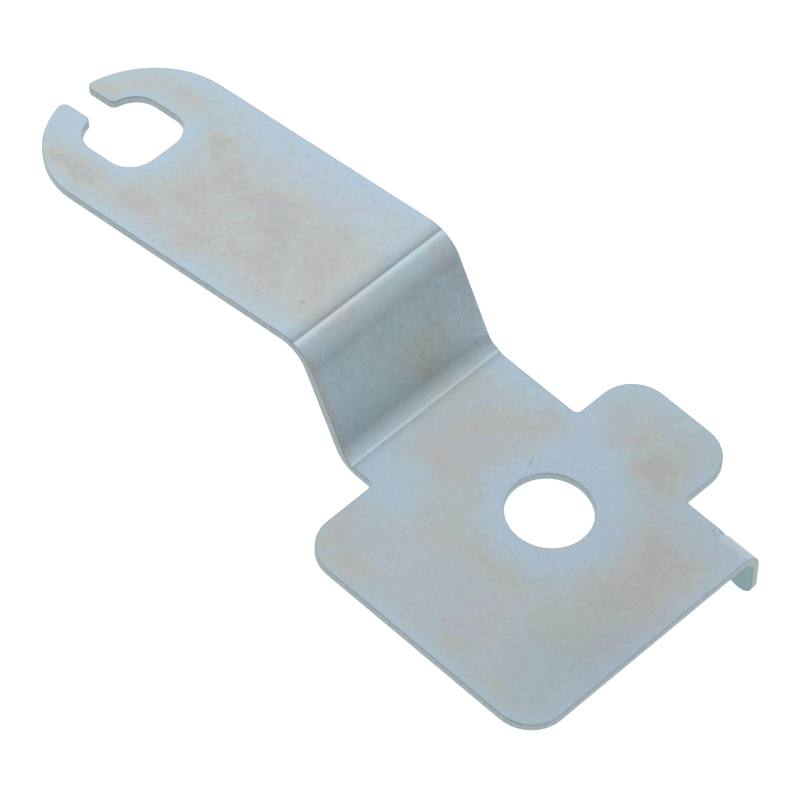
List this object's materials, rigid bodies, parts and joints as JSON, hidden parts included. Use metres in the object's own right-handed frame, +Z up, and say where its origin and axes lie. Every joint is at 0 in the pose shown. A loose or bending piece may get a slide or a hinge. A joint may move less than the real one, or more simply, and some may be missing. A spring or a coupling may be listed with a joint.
{
  "type": "stamped metal bracket",
  "caption": "Stepped sheet-metal hose bracket: a flat base with a bolt hole and a turned-down lug, a raised arm and an open slotted seat at its tip.",
  "frame": {"origin": "centre of the bolt hole on the underside of the base plate", "axes": "+Z up through the bolt hole, away from the plate's underside; +X from the bolt hole along the arm to the open hose seat"},
  "size_m": [0.1227, 0.0573, 0.0274],
  "materials": {
    "zinc_plated_steel": "bright zinc plating with a pale blue passivation"
  },
  "bodies": {
    "root": {"bracket": "zinc_plated_steel"}
  },
  "joints": []
}
